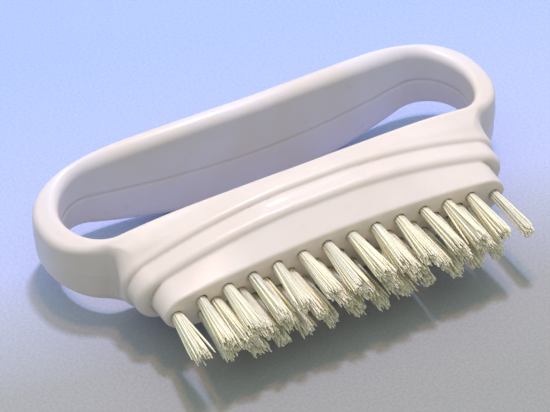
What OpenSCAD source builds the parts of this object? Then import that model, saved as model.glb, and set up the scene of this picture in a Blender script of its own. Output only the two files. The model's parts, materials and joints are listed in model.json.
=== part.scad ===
// Nail brush: one moulded body with a loop handle, 37 bristle tufts and their flat wire anchors.
// It lies on its side, as it is put down: X runs along the brush, Y from bristles to handle.
// Z is the brush's width. The origin is under the middle of the whole brush.

/* [Handle loop] */
// Length of the brush over the loop
loop_len = 93.5; // [90:0.5:105]
// Rise of the back bar's shoulders above the loop's widest line
back_rise = 14.3; // [13.5:0.1:17]
// Drop of the loop's front below the widest line
front_drop = 13; // [12.8:0.1:14]
// Length of each rounded back corner
back_corner = 25.6; // [20:0.1:32]
// Length of each rounded front corner
front_corner = 14.5; // [12:0.1:17]
// Dip of the back bar at its middle
back_dip = 5.3; // [3:0.1:7]
// Thickness of the loop at its two ends
end_wall = 4.7; // [3.5:0.1:6]
// Thickness of the back bar at its shoulders, before it dips
shoulder_wall = 4.5; // [4:0.1:5.5]
// Thickness of the back bar at its middle
bar_wall = 4.1; // [3.6:0.1:4.8]
// Length of each rounded back corner of the finger opening
opening_back_corner = 8.7; // [6:0.1:12]
// Length of each rounded front corner of the finger opening
opening_front_corner = 6.6; // [5:0.1:10]
// Drop of the finger opening's front below the widest line
opening_drop = 9.9; // [8:0.1:10.5]
// How far the opening's front bows out at its middle
opening_bow = 2.3; // [1:0.1:2.4]
// Rounding of the loop's outer rims
rim_r = 1.2; // [0.5:0.05:1.4]
// Rounding of the finger opening's rims at its front
opening_rim_r = 1; // [0.5:0.05:1.2]
// Rounding of the finger opening's rims at its back
opening_back_rim_r = 2.2; // [1:0.05:2.4]
// Lean of the loop's walls, in degrees, from the parting line to the rims
wall_draft = 1.5; // [0:0.1:2]

/* [Width] */
// Width of the brush at its middle
mid_width = 22; // [20:0.2:26]
// Radius of the arc that each side of the loop follows, seen from the back
side_arc_r = 176; // [165:1:320]
// Radius of the arc that each side of the block follows
block_arc_r = 110; // [105:1:320]
// Length of the flat at the middle of each side, on which the brush lies
rest_len = 12; // [6:0.5:20]

/* [Block] */
// Drop below the loop's widest line at which the block leaves the loop's ends
neck_drop = 12; // [11.9:0.1:12.3]
// Length of the neck
neck_len = 73.6; // [70:0.2:75.4]
// Radius of the hollow between the loop and the first tier
neck_r = 1.8; // [0.8:0.1:2]
// Length of the first tier at its crest
tier_1_len = 76.8; // [76:0.2:79]
// Depth of the first tier below the neck
tier_1_depth = 5.6; // [5:0.1:7]
// Length of the second tier at its crest
tier_2_len = 75.2; // [74.6:0.2:76.2]
// Depth of the second tier
tier_2_depth = 4.3; // [3.6:0.1:5]
// Length of the third tier at its crest
tier_3_len = 70.2; // [69.8:0.2:71.2]
// Depth of the third tier
tier_3_depth = 5; // [4.9:0.1:7]
// Step in from the first tier to the second
step_1 = 0.95; // [0.6:0.05:1.1]
// Step in from the second tier to the third
step_2 = 1.3; // [0.8:0.05:1.4]
// Length of the bristle face
face_len = 69.6; // [69.4:0.2:70.4]
// Width of the bristle face at its middle
face_width = 11.8; // [11:0.1:12.6]
// Inset of each side of the bristle face at its ends
face_inset = 2.8; // [1.6:0.1:3]
// Radius of the tiers' corners, seen from the bristles
tier_corner_r = 3.4; // [2:0.1:4]

/* [Bristles] */
// Distance from tuft to tuft along a row
tuft_pitch = 4.97; // [4.9:0.01:5]
// Distance of the side rows from the middle row, at mid length
row_mid = 3.35; // [3.2:0.05:3.6]
// Inset of the side rows at their ends, towards the middle row
row_inset = 1.75; // [1.2:0.05:1.8]
// Diameter of a tuft hole
tuft_hole_dia = 2; // [1.8:0.05:2.1]
// Depth of a tuft hole
tuft_hole_depth = 4; // [3.6:0.1:4.3]
// Length of the longest bristles outside the block
bristle_len = 13; // [10:0.5:16]
// How much shorter the shortest bristles are
bristle_rag = 1.4; // [0:0.1:2]
// Distance from the centre of a tuft's tip to its outer ring of strands
tuft_tip_r = 1.25; // [1:0.05:1.25]
// Thickness of a strand, corner to corner
strand_dia = 0.36; // [0.25:0.01:0.4]

/* [Anchors] */
// Width of an anchor across its hole
anchor_width = 2.8; // [2.4:0.1:3]
// Thickness of an anchor's wire
anchor_thick = 0.4; // [0.3:0.05:0.6]
// Height of an anchor along its hole
anchor_height = 1.4; // [1:0.1:1.6]

/* [Hidden] */
// Tufts in each side row, one more than in the middle row
side_count = 12;
mid_count = side_count - 1;

TUFT_NODES = concat(
    [for (side = ["top", "low"], i = [1 : side_count]) str("tuft_", side, "_", i)],
    [for (i = [1 : mid_count]) str("tuft_mid_", i)],
    ["tuft_end_left", "tuft_end_right"]
);
ANCHOR_NODES = ["anchors_top_row", "anchors_low_row", "anchors_mid_row", "anchors_ends"];

// Overrun of every cut past the surface that it opens
over = 1;
// Clearance round a tuft's root in its hole
root_gap = 0.05;
// Depth of a tuft's packed root below the bristle face
root_recess = 0.4;
// Depth to which the strands run on into the packed root
strand_sink = 0.3;
// Plastic left under an anchor, at the bottom of its hole
anchor_lift = 0.7;
// How far the block runs up into the loop's front bar
neck_overlap = 0.8;
// How far the neck stands past the loop's side arcs, and the first tier's crest short of its own
side_spare = 1;
crest_ease = 0.05;

// How full the rounded corners are: 2 is an ellipse, more is squarer
back_fullness = 2.4;
front_fullness = 2.25;
opening_back_fullness = 1.75;
opening_front_fullness = 1.95;
// How evenly the dip and the bow spread along their length
dip_power = 1.5;
// Points on each rounded corner of the loop and on each stretch between corners
corner_steps = 9;
run_steps = 9;
// Points on each corner of a tier and on each stretch between corners
tier_corner_steps = 5;
tier_run_steps = 10;
// Steps in which the first tier passes from the loop's side arcs to the block's
blend_steps = 4;
// Steps that round each crest and the neck
crest_steps = 3;
// Rounding of a rim, as shares of its radius: height past the side, then distance in from the wall
rim_shares = [[-1, 0], [-0.5, 0.134], [-0.134, 0.5], [0.134, 1.5]];
// Share of the third tier's depth at which its ends are longest
tier_3_crest_share = 0.33;
// Share of the second step by which that tier's ends step in further
end_step_share = 1;
// Most that a tier's corner radius takes of its end's half width, as a share
corner_limit_share = 0.95;

half_len = loop_len / 2;
half_mid = mid_width / 2;
opening_half = half_len - end_wall;
opening_rise = back_rise - shoulder_wall;
opening_dip = back_dip - (shoulder_wall - bar_wall);

// Depths below the widest line at which the tiers meet
groove_1_y = neck_drop + tier_1_depth;
groove_2_y = groove_1_y + tier_2_depth;
face_y = groove_2_y + tier_3_depth;
tip_y = face_y + bristle_len;

// Height of a side arc's crown, which the flat takes off
function crown(radius) = radius - sqrt(radius * radius - rest_len * rest_len / 4);

// Half width of the brush at a place along its length, on a side arc and its flat
function arc_z(x, radius) =
    min(half_mid, half_mid + crown(radius) - radius + sqrt(radius * radius - x * x));
function side_z(x) = arc_z(x, side_arc_r);

// Share of a dip or bow that applies at a place along a stretch of a half length
function dip_share(x, half) = pow(max(0, 1 - x * x / (half * half)), dip_power);

// Rounded corner from its end on the long side to its end on the short side
function corner_points(half, length, depth, fullness) = [
    for (i = [0 : corner_steps])
        let (a = 90 * i / corner_steps)
        [half - length + length * pow(sin(a), 2 / fullness), depth * pow(cos(a), 2 / fullness)]
];

// Straight run from the middle to where a corner starts
function run_points(half, length, depth) = [
    for (i = [0 : run_steps - 1]) [(half - length) * i / run_steps, depth]
];

function flipped(points) = [for (i = [len(points) - 1 : -1 : 0]) points[i]];

// Quarter of a loop outline from the middle to its end, with its dip or bow
function quarter(half, depth, length, fullness, dip) = [
    for (p = concat(run_points(half, length, depth), corner_points(half, length, depth, fullness)))
        [p[0], p[1] - dip * dip_share(p[0], half) * max(0, p[1] / depth)]
];

// Whole outline, clockwise from the middle of the back, from its back and front quarters
function outline(back, front) =
    let (
        down = [for (p = flipped(front)) [p[0], -p[1]]],
        right = concat(back, [for (i = [1 : len(down) - 1]) down[i]]),
        last = len(right) - 1,
        left = [for (i = [last - 1 : -1 : 1]) [-right[i][0], right[i][1]]]
    )
    concat(right, left);

loop_back = quarter(half_len, back_rise, back_corner, back_fullness, back_dip);
loop_outline = outline(loop_back, quarter(half_len, front_drop, front_corner, front_fullness, 0));
opening_outline = outline(
    quarter(opening_half, opening_rise, opening_back_corner, opening_back_fullness, opening_dip),
    quarter(opening_half, opening_drop, opening_front_corner, opening_front_fullness, -opening_bow)
);
back_top = max([for (p = loop_back) p[1]]);

// Rim radius at each point of the loop, and of the opening from its front to its back
loop_rims = [for (p = loop_outline) rim_r];
opening_rims = [
    for (p = opening_outline)
        let (back_share = max(0, (p[1] + opening_drop) / (opening_rise + opening_drop)))
        opening_rim_r + (opening_back_rim_r - opening_rim_r) * back_share
];

// Moves the brush from its drawing axes, the widest line and mid plane, to its place on its side
module place() {
    translate([0, (tip_y - back_top) / 2, half_mid]) children();
}

// Moves each point of a clockwise outline away from the middle by its own distance
function grown(points, distances) = [
    for (i = [0 : len(points) - 1])
        let (
            count = len(points),
            along = points[(i + 1) % count] - points[(i + count - 1) % count]
        )
        points[i] + distances[i] * [-along[1], along[0]] / norm(along)
];

// Triangles between two neighbouring rings of a loft
function band(first, count) = [
    for (i = [0 : count - 1], half = [0, 1])
        let (next = (i + 1) % count)
        half == 0 ? [first + i, first + next, first + count + i]
                  : [first + next, first + count + next, first + count + i]
];

// Triangles that close a ring, round a point in its middle if it has more than three sides
function cap(first, count, centre) =
    count == 3 ? [[first, first + 1, first + 2]]
    : [for (i = [0 : count - 1]) [centre, first + i, first + (i + 1) % count]];

function middle(ring) = [for (i = [0 : 2]) [for (p = ring) 1] * [for (p = ring) p[i]] / len(ring)];

// Solid through rings of as many points each, clockwise seen from the last one; both ends are flat
module loft(rings) {
    count = len(rings[0]);
    last = len(rings) - 1;
    end = count * len(rings);
    polyhedron(
        points = concat([for (ring = rings, p = ring) p], [middle(rings[0]), middle(rings[last])]),
        faces = concat(
            [for (f = cap(0, count, end)) flipped(f)],
            [for (i = [0 : last - 1], f = band(i * count, count)) f],
            cap(last * count, count, end + 1)
        )
    );
}

// Upright solid whose walls lean and whose rims follow the brush's sides, or a cutter for one
module rimmed(points, rims, outwards = false) {
    way = outwards ? 1 : -1;
    heights = [for (p = points) side_z(p[0])];
    waist = [for (p = points) [p[0], p[1], 0]];
    rim_rings = [
        for (s = rim_shares)
            let (ring = grown(points, way * (s[1] * rims + tan(wall_draft) * heights)))
            [for (i = [0 : len(ring) - 1]) [ring[i][0], ring[i][1], heights[i] + s[0] * rims[i]]]
    ];
    last = rim_rings[len(rim_rings) - 1];
    upper = concat(rim_rings, [[for (p = last) [p[0], p[1], half_mid + over]]]);
    lower = [for (ring = flipped(upper)) [for (p = ring) [p[0], p[1], -p[2]]]];
    loft(concat(lower, [waist], upper));
}

// Space between the two side arcs and their flats, over the body's whole depth
module sides() {
    arc_centre = half_mid + crown(side_arc_r) - side_arc_r;
    translate([0, back_top + over, 0]) rotate([90, 0, 0])
        linear_extrude(height = back_top + face_y + 2 * over) intersection() {
            translate([0, arc_centre]) circle(r = side_arc_r, $fn = 720);
            translate([0, -arc_centre]) circle(r = side_arc_r, $fn = 720);
            square([loop_len + 2 * over, mid_width], center = true);
        }
}

// Half width of the bristle face at a place along its length
function face_z(x) = face_width / 2 - face_inset * pow(2 * x / face_len, 2);

// Half width of a tier at a place along its length: its shares are the block's side arc, where
// the rest is the loop's, and then the bristle face
function tier_z(x, inset, block_share, face_share) =
    let (arcs_z = (1 - block_share) * side_z(x) + block_share * arc_z(x, block_arc_r))
    (1 - face_share) * (arcs_z - inset) + face_share * face_z(x);

// Outline of the block at one depth: side arcs with rounded ends
function tier_ring(y, length, inset, block_share, face_share) =
    let (
        end_z = tier_z(length / 2, inset, block_share, face_share),
        corner_r = min(tier_corner_r, corner_limit_share * end_z),
        flat = length / 2 - corner_r,
        corner_z = tier_z(flat, inset, block_share, face_share) - corner_r,
        run = [for (i = [0 : tier_run_steps - 1]) let (x = flat * i / tier_run_steps)
            [x, tier_z(x, inset, block_share, face_share)]],
        corner = [for (i = [0 : tier_corner_steps]) let (a = 90 * i / tier_corner_steps)
            [flat + corner_r * sin(a), corner_z + corner_r * cos(a)]],
        upper = concat(run, corner, [[length / 2, 0]])
    )
    [for (p = outline(upper, upper)) [p[0], -y, p[1]]];

// Depth, length, step in and the two shares for each outline that the block runs through
block_rows = concat(
    [[neck_drop - neck_overlap, neck_len + 2 * neck_r, -side_spare, 0, 0]],
    [for (i = [0 : crest_steps]) let (a = 90 * i / crest_steps)
        [neck_drop + neck_r * (1 - cos(a)), neck_len + 2 * neck_r * (1 - sin(a)), -side_spare, 0, 0]],
    [for (i = [1 : blend_steps - 1]) let (blend_share = i / blend_steps) [
        neck_drop + neck_r + (tier_1_depth - step_1 - neck_r) * blend_share,
        neck_len + (tier_1_len - neck_len) * blend_share,
        (crest_ease + side_spare) * blend_share - side_spare,
        blend_share,
        0
    ]],
    [for (i = [0 : crest_steps]) let (a = 90 * i / crest_steps) [
        groove_1_y - step_1 * (1 - sin(a)),
        tier_1_len - 2 * step_1 * (1 - cos(a)),
        crest_ease + (step_1 - crest_ease) * (1 - cos(a)),
        1,
        0
    ]],
    [for (i = [0 : crest_steps]) let (a = 90 * i / crest_steps) [
        groove_2_y - step_2 * (1 - sin(a)),
        tier_2_len - 2 * step_2 * (1 + end_step_share) * (1 - cos(a)),
        step_1 + step_2 * (1 - cos(a)),
        1,
        0
    ]],
    [[
        groove_2_y + tier_3_crest_share * tier_3_depth,
        tier_3_len,
        step_1 + step_2,
        1,
        tier_3_crest_share
    ]],
    [[face_y, face_len, step_1 + step_2, 1, 1]]
);

module block() {
    loft([for (row = block_rows) tier_ring(row[0], row[1], row[2], row[3], row[4])]);
}

// Places of the tufts as distance along the brush and across it
function side_place(i, side) =
    let (x = (i - (side_count + 1) / 2) * tuft_pitch, last_x = (side_count - 1) / 2 * tuft_pitch)
    [x, side * (row_mid - row_inset * x * x / (last_x * last_x))];

top_places = [for (i = [1 : side_count]) side_place(i, 1)];
low_places = [for (i = [1 : side_count]) side_place(i, -1)];
mid_places = [for (i = [1 : mid_count]) [(i - (mid_count + 1) / 2) * tuft_pitch, 0]];
end_x = (side_count + 1) / 2 * tuft_pitch;
end_places = [[-end_x, 0], [end_x, 0]];

// Moves a shape drawn round a tuft's axis, with its height towards the handle, to its hole
module at_hole(spot, lift) {
    translate([spot[0], lift - face_y, spot[1]]) rotate([-90, 0, 0]) children();
}

module anchor(spot) {
    at_hole(spot, tuft_hole_depth - anchor_lift - anchor_height)
        translate([-anchor_width / 2, -anchor_thick / 2, 0])
            cube([anchor_width, anchor_thick, anchor_height]);
}

module brush_body() {
    color("white") place() difference() {
        intersection() {
            union() {
                rimmed(loop_outline, loop_rims);
                block();
            }
            sides();
        }
        rimmed(opening_outline, opening_rims, outwards = true);
        for (spot = concat(top_places, low_places, mid_places, end_places)) {
            at_hole(spot, -over) cylinder(d = tuft_hole_dia, h = tuft_hole_depth + over, $fn = 48);
            anchor(spot);
        }
    }
}

// Strands of a tuft: one in the middle and two rings of six, the outer ring turned half a step
ring_count = 6;
ring_turn = 360 / ring_count;
inner_ring_share = 0.54;
strand_places = concat(
    [[0, 0]],
    [for (i = [0 : ring_count - 1]) [inner_ring_share, ring_turn * i]],
    [for (i = [0 : ring_count - 1]) [1, ring_turn * (i + 0.5)]]
);
strand_sides = 3;
root_r = tuft_hole_dia / 2 - root_gap;

// Uneven but repeatable share from 0 to 1
function uneven_share(seed) = let (v = abs(sin(seed * 77.7) * 43.7)) v - floor(v);

// Outline of a strand at one depth, clockwise seen from its tip
function strand_ring(spot, y, from_axis, angle) = [
    for (k = [0 : strand_sides - 1])
        let (a = angle - 360 * k / strand_sides)
        [
            spot[0] + from_axis * cos(angle) + strand_dia / 2 * cos(a),
            y,
            spot[1] + from_axis * sin(angle) + strand_dia / 2 * sin(a)
        ]
];

module strand(spot, ring_share, angle, tip_drop) {
    loft([
        strand_ring(
            spot, root_recess + strand_sink - face_y, ring_share * (root_r - strand_dia / 2), angle
        ),
        strand_ring(spot, tip_drop - tip_y, ring_share * tuft_tip_r, angle)
    ]);
}

// Strands fused to their packed root, which an anchor holds in its hole
module tuft(spot, seed) {
    color("ivory") place() {
        difference() {
            at_hole(spot, root_recess)
                cylinder(r = root_r, h = tuft_hole_depth - root_recess, $fn = 48);
            anchor(spot);
        }
        for (i = [0 : len(strand_places) - 1])
            strand(
                spot, strand_places[i][0], strand_places[i][1],
                i == 0 ? 0 : bristle_rag * uneven_share(seed + i)
            );
    }
}

module anchors(spots) {
    color("silver") place() for (spot = spots) anchor(spot);
}

// Start of each row's run of uneven lengths
low_seed = 500;
mid_seed = 1000;
end_seed = 1500;
seed_step = 20;

brush_body();
for (i = [1 : side_count]) {
    tuft(top_places[i - 1], seed_step * i);
    tuft(low_places[i - 1], low_seed + seed_step * i);
}
for (i = [1 : mid_count])
    tuft(mid_places[i - 1], mid_seed + seed_step * i);
tuft(end_places[0], end_seed);  // tuft_end_left
tuft(end_places[1], end_seed + seed_step);  // tuft_end_right
anchors(top_places);  // anchors_top_row
anchors(low_places);  // anchors_low_row
anchors(mid_places);  // anchors_mid_row
anchors(end_places);  // anchors_ends
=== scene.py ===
import json
import math

import bpy
import numpy as np
from mathutils import Matrix, Vector

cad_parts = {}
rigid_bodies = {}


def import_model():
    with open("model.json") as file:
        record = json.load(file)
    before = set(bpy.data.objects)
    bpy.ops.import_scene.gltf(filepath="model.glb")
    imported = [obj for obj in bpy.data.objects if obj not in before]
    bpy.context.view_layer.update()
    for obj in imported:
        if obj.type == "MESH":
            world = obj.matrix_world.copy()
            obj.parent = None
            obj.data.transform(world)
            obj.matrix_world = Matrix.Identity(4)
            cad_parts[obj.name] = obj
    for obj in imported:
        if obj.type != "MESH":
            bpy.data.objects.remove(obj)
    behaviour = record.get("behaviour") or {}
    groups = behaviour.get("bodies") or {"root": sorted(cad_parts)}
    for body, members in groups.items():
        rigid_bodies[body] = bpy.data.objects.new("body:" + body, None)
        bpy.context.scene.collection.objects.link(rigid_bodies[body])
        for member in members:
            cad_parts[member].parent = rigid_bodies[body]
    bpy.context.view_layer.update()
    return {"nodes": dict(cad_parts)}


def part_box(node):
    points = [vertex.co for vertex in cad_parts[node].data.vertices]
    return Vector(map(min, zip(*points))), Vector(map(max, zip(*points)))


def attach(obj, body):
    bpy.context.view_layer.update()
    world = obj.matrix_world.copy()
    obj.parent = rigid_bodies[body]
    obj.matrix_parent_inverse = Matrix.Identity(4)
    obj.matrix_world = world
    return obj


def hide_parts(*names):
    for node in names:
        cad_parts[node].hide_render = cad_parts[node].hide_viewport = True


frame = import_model()
mm = 0.001
print("frame loaded:", len(frame["nodes"]), "nodes")

# The body's shape in millimetres, on axes through the loop's widest line and the middle of its width.
# A fullness of 2 makes a corner elliptical, and more makes it squarer.
brushBody = {
    "backRise": 14.3, "frontDrop": 13.0, "backCorner": 25.6, "frontCorner": 14.5,  # the loop's outline
    "backDip": 5.3, "dipPower": 1.5, "backFullness": 2.4, "frontFullness": 2.25,
    "endWall": 4.7, "shoulderWall": 4.5, "barWall": 4.1,
    "openingBackCorner": 8.7, "openingFrontCorner": 6.6, "openingDrop": 9.9, "openingBow": 2.3,
    "openingBackFullness": 1.75, "openingFrontFullness": 1.95,
    "sideArc": 176.0, "blockArc": 110.0, "blockBlend": (12.5, 17.0), "restLength": 12.0,  # seen from the back
    "rimRadius": 1.2, "innerRims": (1.0, 2.4),  # the opening's rims at its front and at its back
    "outerDraft": 0.027, "innerDraft": 0.055,  # how the walls lean away from the parting line
    "seamWidth": 0.3, "seamHeight": 0.05, "innerSeamHeight": 0.32,
    "neckDrop": 12.0, "neckFillet": 1.7, "neckLength": 75.0, "neckRimBlend": (2.0, 3.0),
    "crestBlend": (1.0, 4.5), "cornerRadius": 3.6,
    "tierLengths": (76.8, 75.2, 70.0), "tierFloors": (17.6, 21.9, 26.9), "tierInsets": (0.0, 0.95, 2.25),
    "tierOverlap": 3.0, "crestRadii": (1.1, 1.5, 0.35), "grooveFillet": 0.15,
    "faceLength": 69.6, "faceWidth": 11.8, "faceInset": 2.8, "faceStart": 0.33,
    "plateX": (-10.5, 9.3), "plateY": (-20.6, -19.0), "plateDepth": 0.2, "plateEdge": 0.3,
}
bodyGrid = {  # cells of the mesh in millimetres, longer where the body runs straight
    "cell": 0.36, "longCell": 0.62, "longUpTo": 33.0, "margin": 0.6, "depthMargin": 1.0,
    "neckLine": 12.1, "seamLines": (0.11, 0.33),
}
bodyLow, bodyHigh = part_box("brush_body")
halfLength = (bodyHigh.x - bodyLow.x) / 2 / mm
halfWidth = (bodyHigh.z - bodyLow.z) / 2 / mm
widestY = bodyLow.y / mm + brushBody["tierFloors"][2]
midHeight = (bodyHigh.z + bodyLow.z) / 2 / mm


def roundCut(a, b, radius):  # the space inside both, its corner rounded
    corner = np.hypot(np.maximum(a + radius, 0), np.maximum(b + radius, 0))
    return np.minimum(-radius, np.maximum(a, b)) + corner


def roundJoin(a, b, radius):  # the space inside either, its inner corner filled
    corner = np.hypot(np.maximum(radius - a, 0), np.maximum(radius - b, 0))
    return np.maximum(radius, np.minimum(a, b)) - corner


def smoothStep(low, high, value):
    share = np.clip((value - low) / (high - low), 0, 1)
    return share * share * (3 - 2 * share)


def sideHeight(x, arc=brushBody["sideArc"]):  # half width of the loop, or of the block on its own arc
    crown = arc - math.sqrt(arc ** 2 - brushBody["restLength"] ** 2 / 4)
    return np.minimum(halfWidth, halfWidth + crown - arc + np.sqrt(arc ** 2 - x ** 2))


def quarterOutline(half, depth, corner, fullness, dip, steps=40):
    angles = np.linspace(0, math.pi / 2, steps)
    run = np.linspace(0, half - corner, steps // 2, endpoint=False)
    x = np.concatenate([run, half - corner + corner * np.sin(angles) ** (2 / fullness)])
    y = np.concatenate([np.full(len(run), depth), depth * np.abs(np.cos(angles)) ** (2 / fullness)])
    y[-1] = 0
    bend = np.maximum(0, 1 - (x / half) ** 2) ** brushBody["dipPower"]
    return np.stack([x, y - dip * bend * np.maximum(0, y / depth)], 1)


def closedOutline(back, front):
    right = np.concatenate([back, front[::-1][1:] * (1, -1)])
    return np.concatenate([right, right[-2:0:-1] * (-1, 1)])


def outlineDistance(x, y, ring):  # below zero inside the ring
    shape, x, y = np.shape(x), np.ravel(x), np.ravel(y)
    nearest, inside = np.full(len(x), 1e9), np.zeros(len(x), bool)
    for (ax, ay), (bx, by) in zip(ring, np.roll(ring, -1, 0)):
        dx, dy = bx - ax, by - ay
        along = np.clip(((x - ax) * dx + (y - ay) * dy) / (dx * dx + dy * dy), 0, 1)
        nearest = np.minimum(nearest, (x - ax - along * dx) ** 2 + (y - ay - along * dy) ** 2)
        crosses = (ay > y) != (by > y)
        if dy:
            inside ^= crosses & (x < ax + (y - ay) * dx / dy)
    return (np.sqrt(nearest) * np.where(inside, -1, 1)).reshape(shape)


openHalf = halfLength - brushBody["endWall"]
openRise = brushBody["backRise"] - brushBody["shoulderWall"]
openDip = brushBody["backDip"] - (brushBody["shoulderWall"] - brushBody["barWall"])
loopRing = closedOutline(
    quarterOutline(halfLength, brushBody["backRise"], brushBody["backCorner"], brushBody["backFullness"],
                   brushBody["backDip"]),
    quarterOutline(halfLength, brushBody["frontDrop"], brushBody["frontCorner"],
                   brushBody["frontFullness"], 0))
openRing = closedOutline(
    quarterOutline(openHalf, openRise, brushBody["openingBackCorner"], brushBody["openingBackFullness"],
                   openDip),
    quarterOutline(openHalf, brushBody["openingDrop"], brushBody["openingFrontCorner"],
                   brushBody["openingFrontFullness"], -brushBody["openingBow"]))


def tierField(x, y, z, tier):
    length, floor = brushBody["tierLengths"][tier], brushBody["tierFloors"][tier]
    inset, crest = brushBody["tierInsets"][tier], brushBody["crestRadii"][tier]
    height = sideHeight(x, brushBody["blockArc"]) - inset
    half = length / 2
    if tier == 2:  # the last tier narrows to the bristle face
        depth = np.clip((-y - brushBody["tierFloors"][1]) / (floor - brushBody["tierFloors"][1]), 0, 1)
        narrowing = brushBody["faceInset"] * (2 * x / brushBody["faceLength"]) ** 2
        faceHeight = brushBody["faceWidth"] / 2 - narrowing
        height = height + depth * (faceHeight - height)
        late = np.maximum(0, (depth - brushBody["faceStart"]) / (1 - brushBody["faceStart"]))
        half = length / 2 - late * (length - brushBody["faceLength"]) / 2
    section = roundCut(np.abs(x) - half, np.abs(z) - height, brushBody["cornerRadius"])
    upTo = y + brushBody["tierFloors"][0] - brushBody["tierOverlap"]
    return np.maximum(roundCut(section, -y - floor, crest), upTo)


def bodyField(x, y, z, loopDistance, openDistance):
    toBlock = smoothStep(*brushBody["blockBlend"], -y)
    side = np.abs(z) - (1 - toBlock) * sideHeight(x) - toBlock * sideHeight(x, brushBody["blockArc"])
    draw = brushBody["outerDraft"] * np.abs(z)
    crestFrom, crestTo = brushBody["crestBlend"]
    toCrest = np.clip((-y - brushBody["neckDrop"] - crestFrom) / (crestTo - crestFrom), 0, 1)
    blockHalf = ((1 - toCrest) * brushBody["neckLength"] + toCrest * brushBody["tierLengths"][0]) / 2
    block = np.maximum(np.abs(x) - blockHalf, y + brushBody["neckDrop"])
    outline = roundJoin(loopDistance + draw, block, brushBody["neckFillet"])
    ridge = np.exp(-(z / brushBody["seamWidth"]) ** 2) - 1
    seam = brushBody["seamHeight"] * ridge
    before, after = brushBody["neckRimBlend"]
    blockShare = smoothStep(brushBody["neckDrop"] - before, brushBody["neckDrop"] + after, -y)
    rim = brushBody["rimRadius"] + blockShare * (brushBody["cornerRadius"] - brushBody["rimRadius"])
    top = roundCut(roundCut(outline - seam, side, rim), -y - brushBody["tierFloors"][0],
                   brushBody["crestRadii"][0])
    second = tierField(x, y, z, 1)
    plateX, plateY, edge = brushBody["plateX"], brushBody["plateY"], brushBody["plateEdge"]
    plate = np.maximum(np.abs(x - sum(plateX) / 2) - (plateX[1] - plateX[0]) / 2,
                       np.abs(y - sum(plateY) / 2) - (plateY[1] - plateY[0]) / 2)
    second = second + brushBody["plateDepth"] * (1 - smoothStep(-edge, edge, plate)) * (z > 0)
    tiers = roundJoin(second, tierField(x, y, z, 2), brushBody["grooveFillet"])
    whole = roundJoin(top, tiers, brushBody["grooveFillet"])
    toBack = np.clip((y + brushBody["openingDrop"]) / (brushBody["openingDrop"] + openRise), 0, 1)
    innerRim = brushBody["innerRims"][0] * (1 - toBack) + brushBody["innerRims"][1] * toBack
    innerWall = brushBody["innerDraft"] * np.abs(z) + brushBody["innerSeamHeight"] * ridge
    return roundCut(whole, innerWall - openDistance, innerRim)


def gridLines(marks, step):  # marks are planes of the shape, which fall in the middle of a cell
    lines = []
    for low, high in zip(marks, marks[1:]):
        count = max(1, round((high - low) / step))
        lines += list(low + (np.arange(count) + 0.5) * (high - low) / count)
    return np.array(lines)


def surfaceNet(xs, ys, zs, field):
    inside = field < 0
    shape = np.array(field.shape) - 1
    corners = [(i, j, k) for i in (0, 1) for j in (0, 1) for k in (0, 1)]
    part = lambda a, c: a[c[0]:c[0] + shape[0], c[1]:c[1] + shape[1], c[2]:c[2] + shape[2]]
    count = sum(part(inside, c).astype(np.int8) for c in corners)
    cells = np.argwhere((count > 0) & (count < 8))
    number = np.full(shape, -1)
    number[tuple(cells.T)] = np.arange(len(cells))
    places, hits = np.zeros((len(cells), 3)), np.zeros(len(cells))
    at = lambda c: (cells[:, 0] + c[0], cells[:, 1] + c[1], cells[:, 2] + c[2])
    spot = lambda c: np.stack([xs[at(c)[0]], ys[at(c)[1]], zs[at(c)[2]]], 1)
    for a in corners:
        for axis in range(3):
            if a[axis]:
                continue
            b = tuple(1 if i == axis else v for i, v in enumerate(a))
            fa, fb = field[at(a)], field[at(b)]
            crossed = (fa < 0) != (fb < 0)
            share = np.where(crossed, fa / np.where(crossed, fa - fb, 1), 0)[:, None]
            places += np.where(crossed[:, None], spot(a) + share * (spot(b) - spot(a)), 0)
            hits += crossed
    places /= hits[:, None]
    quads = []
    for axis in range(3):
        u, v = [i for i in range(3) if i != axis]
        low = np.take(inside, range(inside.shape[axis] - 1), axis)
        high = np.take(inside, range(1, inside.shape[axis]), axis)
        edges = np.argwhere(low != high)
        edges = edges[(edges[:, u] > 0) & (edges[:, v] > 0)]
        starts = low[tuple(edges.T)]
        ring = []
        for du, dv in ((-1, -1), (0, -1), (0, 0), (-1, 0)):
            cell = edges.copy()
            cell[:, u] += du
            cell[:, v] += dv
            ring.append(number[tuple(np.minimum(cell, shape - 1).T)])
        ring = np.stack(ring, 1)
        turned = starts if axis != 1 else ~starts
        quads.append(np.where(turned[:, None], ring, ring[:, ::-1]))
    return places, np.concatenate(quads)


def bodyFieldAt(points):
    x, y, z = points.T
    return bodyField(x, y, z, outlineDistance(x, y, loopRing), outlineDistance(x, y, openRing))


def settled(points, times, nudge=0.01, furthest=0.2, flattest=0.25):  # moves each point on to the surface
    for _ in range(times):
        value = bodyFieldAt(points)
        slope = np.stack([(bodyFieldAt(points + nudge * np.eye(3)[i]) - value) / nudge for i in range(3)], 1)
        steep = np.maximum((slope ** 2).sum(1), flattest)
        points = points - np.clip(value / steep, -furthest, furthest)[:, None] * slope
    return points


def meshObject(name, places, faces):
    mesh = bpy.data.meshes.new(name)
    mesh.from_pydata(places.tolist(), [], faces.tolist())
    mesh.validate()
    mesh.polygons.foreach_set("use_smooth", [True] * len(mesh.polygons))
    thing = bpy.data.objects.new(name, mesh)
    bpy.context.scene.collection.objects.link(thing)
    return thing


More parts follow.
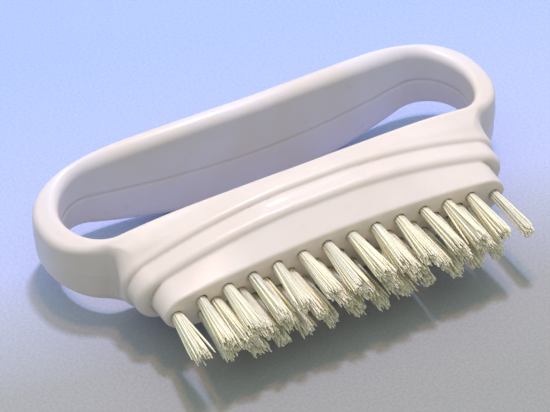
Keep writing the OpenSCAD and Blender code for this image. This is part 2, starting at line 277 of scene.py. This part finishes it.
def makeBody():
    half, top = halfLength + bodyGrid["margin"], halfWidth + bodyGrid["margin"]
    endAt, cell, spare = bodyGrid["longUpTo"], bodyGrid["cell"], bodyGrid["depthMargin"]
    near, far = bodyGrid["seamLines"]
    floors = sorted(-f for f in brushBody["tierFloors"])
    xs = gridLines([-half, -endAt, endAt, half], cell)
    middle = gridLines([-endAt, endAt], bodyGrid["longCell"])
    xs = np.concatenate([xs[xs < -endAt], middle, xs[xs > endAt]])
    ys = gridLines([floors[0] - spare, *floors, -bodyGrid["neckLine"], brushBody["backRise"] + spare], cell)
    zs = gridLines([-top, -far, -near, near, far, top], cell)
    flatX, flatY = np.meshgrid(xs, ys, indexing="ij")
    loopDistance = outlineDistance(flatX, flatY, loopRing)[:, :, None]
    openDistance = outlineDistance(flatX, flatY, openRing)[:, :, None]
    field = bodyField(xs[:, None, None], ys[None, :, None], zs[None, None, :], loopDistance, openDistance)
    places, faces = surfaceNet(xs, ys, zs, field)
    places = settled(places, 2)
    print("body:", len(places), "points,", len(faces), "faces")
    places = (places + (0, widestY, midHeight)) * mm
    return meshObject("moulded_body", places, faces)


body = makeBody()


def inputIdentifier(tree, label):
    return next(i.identifier for i in tree.interface.items_tree if i.in_out == "INPUT" and i.name == label)


def node(tree, kind, **settings):  # one node, with its properties set
    made = tree.nodes.new(kind)
    for key, value in settings.items():
        setattr(made, key, value)
    return made


def maths(tree, operation, *values):  # a Math node on numbers or sockets
    made = node(tree, "ShaderNodeMath", operation=operation)
    for socket, value in zip(made.inputs, values):
        if isinstance(value, (int, float)):
            socket.default_value = value
        else:
            tree.links.new(value, socket)
    return made.outputs[0]


def vector(tree, *values):
    made = node(tree, "ShaderNodeCombineXYZ")
    for socket, value in zip(made.inputs, values):
        if isinstance(value, (int, float)):
            socket.default_value = value
        else:
            tree.links.new(value, socket)
    return made.outputs[0]


# Materials
plasticLook = {  # lengths in metres; towards the handle's back the tint turns bluer, a painted reflection of the blue bounce light from the table
    "tint": (0.75, 0.675, 0.66), "paintedBlueBounce": (0.72, 0.68, 0.75), "paintedBounceFrom": 0.0, "paintedBounceTo": 0.022,
    # painted shade: this colour darkens grooves and creases, driven by ambient occlusion
    "paintedCreviceShade": (0.50, 0.40, 0.33), "creviceReach": 0.0011, "creviceFrom": 0.9, "creviceTo": 0.45,
    "stain": (0.70, 0.62, 0.58), "stainFrom": 0.45, "stainTo": 0.75, "stainScale": 55.0,
    "roughness": (0.26, 0.38), "scuffScale": 260.0, "specular": 0.3, "refraction": 1.49,
    "subsurface": 0.5, "subsurfaceRadius": (1.0, 0.75, 0.55), "subsurfaceScale": 0.0016,
    "grainScale": 900.0, "grainStrength": 0.08, "grainHeight": 0.0002,
}
bristleLook = {
    "root": (0.93, 0.80, 0.55), "tip": (0.97, 0.85, 0.62), "pale": (0.99, 0.92, 0.76), "paleShare": 0.7,
    "roughness": 0.5, "subsurface": 0.7, "subsurfaceRadius": (1.0, 0.85, 0.6), "subsurfaceScale": 0.0006,
}
wireLook = {"tint": (0.72, 0.71, 0.68), "roughness": (0.25, 0.45), "drawnLines": (200.0, 4000.0, 4000.0)}
tableLook = {  # the table fades from grey in front to pale blue behind, along the given way; the blue is partly the table's own and partly painted reflection of blue light from behind, and the stop at 0.48 is made bluer to offset the shade inside the loop
    "fadeWay": (0.2, 1.0, 0.0), "fadeFrom": -0.042, "fadeTo": 0.07,
    "paintedReflectionFade": ((0.0, (0.305, 0.308, 0.315)), (0.2, (0.34, 0.345, 0.375)), (0.38, (0.42, 0.45, 0.59)),
             (0.48, (0.45, 0.50, 0.78)), (1.0, (0.37, 0.47, 0.80))),
    "fleck": 0.06, "fleckScale": 1900.0, "fleckSpan": (0.35, 0.65), "roughness": 0.5, "specular": 0.2,
}
noiseSpan = (0.3, 0.7)  # the noise seldom goes outside this


def newMaterial(name):
    material = bpy.data.materials.new(name)
    material.use_nodes = True
    tree = material.node_tree
    return material, tree, tree.nodes["Principled BSDF"]


def noise(tree, source, scale, detail=3.0, roughness=0.5):
    made = node(tree, "ShaderNodeTexNoise")
    made.inputs["Scale"].default_value = scale
    made.inputs["Detail"].default_value = detail
    made.inputs["Roughness"].default_value = roughness
    tree.links.new(source, made.inputs["Vector"])
    return made.outputs["Fac"]


def ranged(tree, value, low, high, toLow, toHigh):
    made = node(tree, "ShaderNodeMapRange")
    for label, number in (("From Min", low), ("From Max", high), ("To Min", toLow), ("To Max", toHigh)):
        made.inputs[label].default_value = number
    tree.links.new(value, made.inputs["Value"])
    return made.outputs["Result"]


def mixed(tree, share, first, second):
    made = node(tree, "ShaderNodeMix", data_type="RGBA")
    tree.links.new(share, made.inputs["Factor"])
    for socket, colour in ((made.inputs[6], first), (made.inputs[7], second)):
        if isinstance(colour, tuple):
            socket.default_value = (*colour, 1)
        else:
            tree.links.new(colour, socket)
    return made.outputs[2]


def translucent(shader, look):
    shader.inputs["Subsurface Weight"].default_value = look["subsurface"]
    shader.inputs["Subsurface Radius"].default_value = look["subsurfaceRadius"]
    shader.inputs["Subsurface Scale"].default_value = look["subsurfaceScale"]


def plasticMaterial():
    material, tree, shader = newMaterial("glossyPlastic")
    look = plasticLook
    place = node(tree, "ShaderNodeTexCoord").outputs["Object"]
    mottle = noise(tree, place, look["stainScale"], detail=4.0)
    stains = ranged(tree, mottle, look["stainFrom"], look["stainTo"], 0.0, 1.0)
    axes = node(tree, "ShaderNodeSeparateXYZ")
    tree.links.new(place, axes.inputs[0])
    # painted reflected light: the tint turns bluer towards the handle's back, as if lit by the blue table
    toBack = ranged(tree, axes.outputs["Y"], look["paintedBounceFrom"], look["paintedBounceTo"], 0.0, 1.0)
    tintWithBounce = mixed(tree, toBack, look["tint"], look["paintedBlueBounce"])
    hollow = node(tree, "ShaderNodeAmbientOcclusion", samples=8)  # painted shade: the grooves and creases are darkened brown where ambient occlusion finds them
    hollow.inputs["Distance"].default_value = look["creviceReach"]
    creviceShadeShare = ranged(tree, hollow.outputs["AO"], look["creviceFrom"], look["creviceTo"], 0.0, 1.0)
    stained = mixed(tree, stains, tintWithBounce, look["stain"])
    tree.links.new(mixed(tree, creviceShadeShare, stained, look["paintedCreviceShade"]), shader.inputs["Base Color"])
    rubbed = noise(tree, place, look["scuffScale"], detail=5.0, roughness=0.65)
    tree.links.new(ranged(tree, rubbed, *noiseSpan, *look["roughness"]), shader.inputs["Roughness"])
    shader.inputs["IOR"].default_value = look["refraction"]
    shader.inputs["Specular IOR Level"].default_value = look["specular"]
    translucent(shader, look)
    bump = node(tree, "ShaderNodeBump")
    bump.inputs["Strength"].default_value = look["grainStrength"]
    bump.inputs["Distance"].default_value = look["grainHeight"]
    tree.links.new(noise(tree, place, look["grainScale"]), bump.inputs["Height"])
    tree.links.new(bump.outputs["Normal"], shader.inputs["Normal"])
    return material


def bristleMaterial():
    material, tree, shader = newMaterial("nylonBristle")
    along = node(tree, "ShaderNodeAttribute", attribute_name="alongShare").outputs["Fac"]
    shade = node(tree, "ShaderNodeAttribute", attribute_name="bristleShade").outputs["Fac"]
    lengthwise = mixed(tree, along, bristleLook["root"], bristleLook["tip"])
    paleness = ranged(tree, shade, 0.0, 1.0, 0.0, bristleLook["paleShare"])
    tree.links.new(mixed(tree, paleness, lengthwise, bristleLook["pale"]), shader.inputs["Base Color"])
    shader.inputs["Roughness"].default_value = bristleLook["roughness"]
    translucent(shader, bristleLook)
    return material


def wireMaterial():
    material, tree, shader = newMaterial("steelWire")
    place = node(tree, "ShaderNodeTexCoord").outputs["Object"]
    stretch = node(tree, "ShaderNodeMapping")
    stretch.inputs["Scale"].default_value = wireLook["drawnLines"]
    tree.links.new(place, stretch.inputs["Vector"])
    lines = noise(tree, stretch.outputs["Vector"], scale=1.0)
    shader.inputs["Base Color"].default_value = (*wireLook["tint"], 1)
    shader.inputs["Metallic"].default_value = 1.0
    tree.links.new(ranged(tree, lines, *noiseSpan, *wireLook["roughness"]), shader.inputs["Roughness"])
    return material


def tableMaterial():
    material, tree, shader = newMaterial("paleTable")
    place = node(tree, "ShaderNodeTexCoord").outputs["Object"]
    along = node(tree, "ShaderNodeVectorMath", operation="DOT_PRODUCT")
    along.inputs[1].default_value = tableLook["fadeWay"]
    tree.links.new(place, along.inputs[0])
    # painted reflection: part of the blue in this ramp stands in for blue light reflected from behind
    paintedReflectionFade = node(tree, "ShaderNodeValToRGB")
    stops = paintedReflectionFade.color_ramp.elements
    while len(stops) < len(tableLook["paintedReflectionFade"]):
        stops.new(0.5)
    for stop, (share, tint) in zip(stops, tableLook["paintedReflectionFade"]):
        stop.position, stop.color = share, (*tint, 1)
    tree.links.new(ranged(tree, along.outputs["Value"], tableLook["fadeFrom"], tableLook["fadeTo"], 0.0, 1.0),
                   paintedReflectionFade.inputs[0])
    flecks = ranged(tree, noise(tree, place, tableLook["fleckScale"], detail=2.0), *tableLook["fleckSpan"],
                    1 - tableLook["fleck"], 1 + tableLook["fleck"])
    speckled = node(tree, "ShaderNodeVectorMath", operation="SCALE")
    tree.links.new(paintedReflectionFade.outputs["Color"], speckled.inputs[0])
    tree.links.new(flecks, speckled.inputs["Scale"])
    tree.links.new(speckled.outputs[0], shader.inputs["Base Color"])
    shader.inputs["Roughness"].default_value = tableLook["roughness"]
    shader.inputs["Specular IOR Level"].default_value = tableLook["specular"]
    return material


plastic, nylon, steel, table = plasticMaterial(), bristleMaterial(), wireMaterial(), tableMaterial()
body.data.materials.append(plastic)

# Tuft holes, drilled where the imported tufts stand
tuftHole = {"diameter": 2.0, "depth": 4.0, "sides": 28, "overrun": 1.0}


def tuftNodes():
    return sorted(name for name in frame["nodes"] if name.startswith("tuft_"))


def tuftSpot(name):  # the middle of a tuft's root, on the bristle face
    low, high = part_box(name)
    return Vector(((low.x + high.x) / 2, bodyLow.y, rootHeight(name)))


def rootHeight(name):
    rows = np.array([v.co for v in frame["nodes"][name].data.vertices])
    root = rows[rows[:, 1] > bodyLow.y + mm]
    return float((root[:, 2].min() + root[:, 2].max()) / 2)


def drillHoles():
    turn = np.linspace(0, 2 * math.pi, tuftHole["sides"], endpoint=False)
    ring = np.stack([np.cos(turn), 0 * turn, np.sin(turn)], 1) * tuftHole["diameter"] / 2 * mm
    places, faces = [], []
    for name in tuftNodes():
        spot, start, count = np.array(tuftSpot(name)), len(places) * len(ring), len(ring)
        places.append(ring + spot - (0, tuftHole["overrun"] * mm, 0))
        places.append(ring + spot + (0, tuftHole["depth"] * mm, 0))
        faces.append([start + i for i in range(count)])
        faces.append([start + count + i for i in reversed(range(count))])
        faces += [[start + (i + 1) % count, start + i, start + count + i, start + count + (i + 1) % count]
                  for i in range(count)]
    mesh = bpy.data.meshes.new("drills")
    mesh.from_pydata(np.concatenate(places).tolist(), [], faces)
    drills = bpy.data.objects.new("drills", mesh)
    bpy.context.scene.collection.objects.link(drills)
    cut = body.modifiers.new("holes", "BOOLEAN")
    cut.operation, cut.solver, cut.object = "DIFFERENCE", "MANIFOLD", drills
    settledMesh(body)
    bpy.data.objects.remove(drills)


def settledMesh(thing):  # a plain mesh in place of the modifiers
    graph = bpy.context.evaluated_depsgraph_get()
    plain = bpy.data.meshes.new_from_object(thing.evaluated_get(graph), preserve_all_data_layers=True,
                                            depsgraph=graph)
    thing.modifiers.clear()
    thing.data = plain
    plain.name = thing.name
    return thing


drillHoles()
sharpFrom = 55  # degrees
body.data.set_sharp_from_angle(angle=math.radians(sharpFrom))
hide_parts("brush_body")
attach(body, "root")
print("holes drilled:", len(body.data.polygons), "faces")

# Bristles. These values are the inputs of the Geometry Nodes tree that makes a tuft.
tuftOfBristles = {
    "Bristles": 64, "Root Radius": 0.62 * mm, "Tip Radius": 1.5 * mm, "Length": 12.3 * mm,
    "Raggedness": 1.8 * mm, "Root Depth": 1.9 * mm, "Thickness": 0.4 * mm, "Strays": 0.05,
    "Clumping": 2.0 * mm, "Clump Scale": 480.0, "Sag": 0.14 * mm,
}

bristleShape = {
    "strayReach": 0.45, "reach": (0.88, 1.08), "ragPower": 1.4, "jitter": 0.12 * mm, "driftStep": 3 * mm,
    "steps": 7, "sides": 5, "parting": 0.9, "tipFrom": 0.9, "tipThickness": 0.55,
}
tuftWear = {  # the tufts spread and lean unevenly with use, the two at the ends the most
    "seed": 7, "seedStep": 31, "lean": 0.35 * mm, "spread": (0.9, 1.12),
    "endLeans": {"tuft_end_left": -0.7 * mm, "tuft_end_right": 0.3 * mm},
    "endSpreads": {"tuft_end_left": 1.2, "tuft_end_right": 0.72},
}


def bristleTree():
    tree = bpy.data.node_groups.new("tuftOfBristles", "GeometryNodeTree")
    face = tree.interface
    face.new_socket("Geometry", in_out="OUTPUT", socket_type="NodeSocketGeometry")
    for label, value in tuftOfBristles.items():
        kind = "NodeSocketInt" if label == "Bristles" else "NodeSocketFloat"
        face.new_socket(label, in_out="INPUT", socket_type=kind).default_value = value
    face.new_socket("Spot", in_out="INPUT", socket_type="NodeSocketVector")
    face.new_socket("Lean", in_out="INPUT", socket_type="NodeSocketVector")
    face.new_socket("Seed", in_out="INPUT", socket_type="NodeSocketInt")
    face.new_socket("Finish", in_out="INPUT", socket_type="NodeSocketMaterial")
    given = node(tree, "NodeGroupInput").outputs
    link = tree.links.new

    def chance(low, high, offset, kind="FLOAT"):
        made = node(tree, "FunctionNodeRandomValue", data_type=kind)
        pick = {"FLOAT": (2, 3), "FLOAT_VECTOR": (0, 1)}[kind]
        made.inputs[pick[0]].default_value, made.inputs[pick[1]].default_value = low, high
        link(maths(tree, "ADD", given["Seed"], offset), made.inputs["Seed"])
        return made.outputs[{"FLOAT": 1, "FLOAT_VECTOR": 0}[kind]]

    points = node(tree, "GeometryNodePoints")
    link(given["Bristles"], points.inputs["Count"])
    index = node(tree, "GeometryNodeInputIndex").outputs[0]
    share = maths(tree, "SQRT", maths(tree, "DIVIDE", maths(tree, "ADD", index, 0.5), given["Bristles"]))
    turn = maths(tree, "MULTIPLY", index, math.pi * (3 - math.sqrt(5)))  # as the seeds of a sunflower
    across = maths(tree, "MULTIPLY", share, maths(tree, "COSINE", turn))
    up = maths(tree, "MULTIPLY", share, maths(tree, "SINE", turn))
    flat = vector(tree, across, 0.0, up)

    def scaled(value, factor):
        made = node(tree, "ShaderNodeVectorMath", operation="SCALE")
        link(value, made.inputs[0])
        if isinstance(factor, (int, float)):
            made.inputs["Scale"].default_value = factor
        else:
            link(factor, made.inputs["Scale"])
        return made.outputs[0]

    def added(*values):
        total = values[0]
        for value in values[1:]:
            made = node(tree, "ShaderNodeVectorMath", operation="ADD")
            link(total, made.inputs[0])
            link(value, made.inputs[1])
            total = made.outputs[0]
        return total

    root = added(given["Spot"], scaled(flat, given["Root Radius"]),
                 vector(tree, 0.0, given["Root Depth"], maths(tree, "MULTIPLY", given["Sag"], -1.0)))
    stray = maths(tree, "LESS_THAN", chance(0.0, 1.0, 5), given["Strays"])
    shape = bristleShape
    further = maths(tree, "MULTIPLY", stray, shape["strayReach"])
    wide = maths(tree, "ADD", further, chance(*shape["reach"], 1))
    reach = maths(tree, "MULTIPLY", given["Tip Radius"], wide)
    shortness = maths(tree, "POWER", chance(0.0, 1.0, 2), shape["ragPower"])
    drop = maths(tree, "SUBTRACT", given["Length"], maths(tree, "MULTIPLY", given["Raggedness"], shortness))
    aside = shape["jitter"]
    jitter = chance((-aside, 0, -aside), (aside, 0, aside), 3, "FLOAT_VECTOR")
    swirl = node(tree, "ShaderNodeTexNoise")  # neighbours drift alike, so they gather in clumps
    swirl.inputs["Detail"].default_value = 1.0
    link(given["Clump Scale"], swirl.inputs["Scale"])
    apart = maths(tree, "MULTIPLY", given["Seed"], shape["driftStep"])
    link(added(root, vector(tree, 0.0, apart, 0.0)), swirl.inputs["Vector"])
    drift = scaled(added(swirl.outputs["Color"], vector(tree, -0.5, -0.5, -0.5)), given["Clumping"])
    tip = added(given["Spot"], scaled(flat, reach), given["Lean"], jitter, drift,
                vector(tree, 0.0, maths(tree, "MULTIPLY", drop, -1.0), 0.0))

    def stored(geometry, name, value, kind):
        made = node(tree, "GeometryNodeStoreNamedAttribute", data_type=kind, domain="POINT")
        made.inputs["Name"].default_value = name
        link(geometry, made.inputs["Geometry"])
        link(value, made.inputs["Value"])
        return made.outputs["Geometry"]

    cloud = stored(points.outputs[0], "rootPlace", root, "FLOAT_VECTOR")
    cloud = stored(cloud, "tipPlace", tip, "FLOAT_VECTOR")
    cloud = stored(cloud, "bristleShade", chance(0.0, 1.0, 4), "FLOAT")
    straight = node(tree, "GeometryNodeCurvePrimitiveLine")
    steps = node(tree, "GeometryNodeResampleCurve")
    steps.inputs["Count"].default_value = shape["steps"]
    link(straight.outputs[0], steps.inputs["Curve"])
    spread = node(tree, "GeometryNodeInstanceOnPoints")
    link(cloud, spread.inputs["Points"])
    link(steps.outputs[0], spread.inputs["Instance"])
    real = node(tree, "GeometryNodeRealizeInstances")
    link(spread.outputs[0], real.inputs[0])

    def named(name, kind):
        made = node(tree, "GeometryNodeInputNamedAttribute", data_type=kind)
        made.inputs["Name"].default_value = name
        return made.outputs["Attribute"]

    factor = node(tree, "GeometryNodeSplineParameter").outputs["Factor"]
    bent = maths(tree, "POWER", factor, shape["parting"])  # the bristles part as they leave the hole
    sideways = node(tree, "ShaderNodeMix", data_type="VECTOR", factor_mode="NON_UNIFORM")
    link(vector(tree, bent, factor, bent), sideways.inputs[1])
    link(named("rootPlace", "FLOAT_VECTOR"), sideways.inputs[4])
    link(named("tipPlace", "FLOAT_VECTOR"), sideways.inputs[5])
    laid = node(tree, "GeometryNodeSetPosition")
    link(real.outputs[0], laid.inputs["Geometry"])
    link(sideways.outputs[1], laid.inputs["Position"])
    curves = stored(laid.outputs[0], "alongShare", factor, "FLOAT")
    thick = node(tree, "GeometryNodeSetCurveRadius")
    link(curves, thick.inputs[0])
    rounding = node(tree, "ShaderNodeMapRange")
    for label, number in (("From Min", shape["tipFrom"]), ("From Max", 1.0), ("To Min", 1.0),
                          ("To Max", shape["tipThickness"])):
        rounding.inputs[label].default_value = number
    link(factor, rounding.inputs["Value"])
    radius = maths(tree, "DIVIDE", given["Thickness"], 2.0)
    link(maths(tree, "MULTIPLY", radius, rounding.outputs[0]), thick.inputs["Radius"])
    profile = node(tree, "GeometryNodeCurvePrimitiveCircle")
    profile.inputs["Resolution"].default_value = shape["sides"]
    profile.inputs["Radius"].default_value = 1.0
    swept = node(tree, "GeometryNodeCurveToMesh")
    link(thick.outputs[0], swept.inputs["Curve"])
    link(profile.outputs[0], swept.inputs["Profile Curve"])
    swept.inputs["Fill Caps"].default_value = True
    if "Scale" in swept.inputs:
        link(node(tree, "GeometryNodeInputRadius").outputs[0], swept.inputs["Scale"])
    smooth = node(tree, "GeometryNodeSetShadeSmooth")
    link(swept.outputs[0], smooth.inputs["Geometry"])
    whole = node(tree, "GeometryNodeRealizeInstances")
    link(smooth.outputs[0], whole.inputs[0])
    finish = node(tree, "GeometryNodeSetMaterial")
    link(whole.outputs[0], finish.inputs["Geometry"])
    link(given["Finish"], finish.inputs["Material"])
    out = node(tree, "NodeGroupOutput")
    link(finish.outputs[0], out.inputs[0])
    return tree


def makeTufts():
    tree = bristleTree()
    random = np.random.default_rng(tuftWear["seed"])
    made = []
    for number, name in enumerate(tuftNodes()):
        tuft = bpy.data.objects.new(name.replace("tuft", "bristles"), bpy.data.meshes.new(name))
        bpy.context.scene.collection.objects.link(tuft)
        lean = Vector(random.normal(0, tuftWear["lean"], 3) * (1, 0, 1))
        spread = random.uniform(*tuftWear["spread"]) * tuftWear["endSpreads"].get(name, 1.0)
        inputs = {"Spot": tuftSpot(name), "Lean": lean + Vector((tuftWear["endLeans"].get(name, 0.0), 0, 0)),
                  "Seed": tuftWear["seedStep"] * number, "Finish": nylon,
                  "Tip Radius": tuftOfBristles["Tip Radius"] * spread}
        modifier = tuft.modifiers.new("bristles", "NODES")
        modifier.node_group = tree
        for label, value in inputs.items():
            modifier[inputIdentifier(tree, label)] = value
        made.append((tuft, name))
    bpy.context.view_layer.update()
    for tuft, name in made:
        settledMesh(tuft)
        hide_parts(name)
        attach(tuft, "root")
    return [tuft for tuft, _ in made]


tufts = makeTufts()
print("bristles:", sum(len(t.data.polygons) for t in tufts), "faces in", len(tufts), "tufts")

for name in frame["nodes"]:
    if name.startswith("anchors"):
        frame["nodes"][name].data.materials.clear()
        frame["nodes"][name].data.materials.append(steel)

# The stage: a pale table, two lamps overhead, a small one behind, and the photograph's camera
stage = {
    "tableSize": 3.0, "sky": (0.662, 0.765, 0.694), "skyStrength": (0.3, 1.35),  # level, and straight up
    "lamps": {  # place and size in metres, power in watts
        "coolLamp": ((0.13, 0.15, 0.75), 0.08, 3.3, (0.72, 0.733, 1.0)),
        "warmLamp": ((0.03, 0.075, 0.75), 0.08, 1.39, (1.0, 0.547, 0.263)),
        "smallLamp": ((0.11, 0.49, 0.56), 0.02, 0.022, (1.0, 0.97, 0.9)),
    },
}
photoCamera = {  # degrees, millimetres, and the focal length and width in pixels
    "azimuth": -26.66, "elevation": 42.94, "roll": -1.6, "distance": 434.9,
    "target": (-4.29, 3.81, 11.0), "focal": 2375.5, "photoWidth": 550.0, "sensorWidth": 36.0,
    "clip": (0.01, 20.0),
}


def makeTable():
    size = stage["tableSize"]
    mesh = bpy.data.meshes.new("table")
    corners = [(-size, -size, 0), (size, -size, 0), (size, size, 0), (-size, size, 0)]
    mesh.from_pydata(corners, [], [(0, 1, 2, 3)])
    floor = bpy.data.objects.new("table", mesh)
    bpy.context.scene.collection.objects.link(floor)
    floor.data.materials.append(table)


def makeLamp(name, place, size, power, colour):
    data = bpy.data.lights.new(name, "AREA")
    data.shape, data.size, data.energy, data.color = "DISK", size, power, colour
    lamp = bpy.data.objects.new(name, data)
    lamp.location = place
    lamp.rotation_euler = (-Vector(place)).to_track_quat("-Z", "Y").to_euler()
    bpy.context.scene.collection.objects.link(lamp)


def makeCamera():
    a, e, r = (math.radians(photoCamera[k]) for k in ("azimuth", "elevation", "roll"))
    back = Vector((math.sin(a) * math.cos(e), -math.cos(a) * math.cos(e), math.sin(e)))
    level = (-back).cross(Vector((0, 0, 1))).normalized()
    upright = level.cross(-back)
    right = math.cos(r) * level + math.sin(r) * upright
    up = -math.sin(r) * level + math.cos(r) * upright
    data = bpy.data.cameras.new("camera")
    data.sensor_width = photoCamera["sensorWidth"]
    data.lens = data.sensor_width * photoCamera["focal"] / photoCamera["photoWidth"]
    data.clip_start, data.clip_end = photoCamera["clip"]
    camera = bpy.data.objects.new("camera", data)
    turn = Matrix((right, up, back)).transposed().to_4x4()
    camera.matrix_world = Matrix.Translation(
        (Vector(photoCamera["target"]) + back * photoCamera["distance"]) * mm) @ turn
    bpy.context.scene.collection.objects.link(camera)
    bpy.context.scene.camera = camera


def makeRoom():  # soft light all round, stronger from above
    world = bpy.data.worlds.new("room")
    world.use_nodes = True
    tree, sky = world.node_tree, world.node_tree.nodes["Background"]
    sky.inputs[0].default_value = (*stage["sky"], 1)
    way = node(tree, "ShaderNodeSeparateXYZ")
    tree.links.new(node(tree, "ShaderNodeTexCoord").outputs["Generated"], way.inputs[0])
    tree.links.new(ranged(tree, way.outputs["Z"], 0.0, 1.0, *stage["skyStrength"]), sky.inputs[1])
    bpy.context.scene.world = world


makeTable()
for name, settings in stage["lamps"].items():
    makeLamp(name, *settings)
makeCamera()
makeRoom()
bpy.context.scene.view_settings.view_transform = "Standard"
print("stage ready")

bpy.context.view_layer.update()
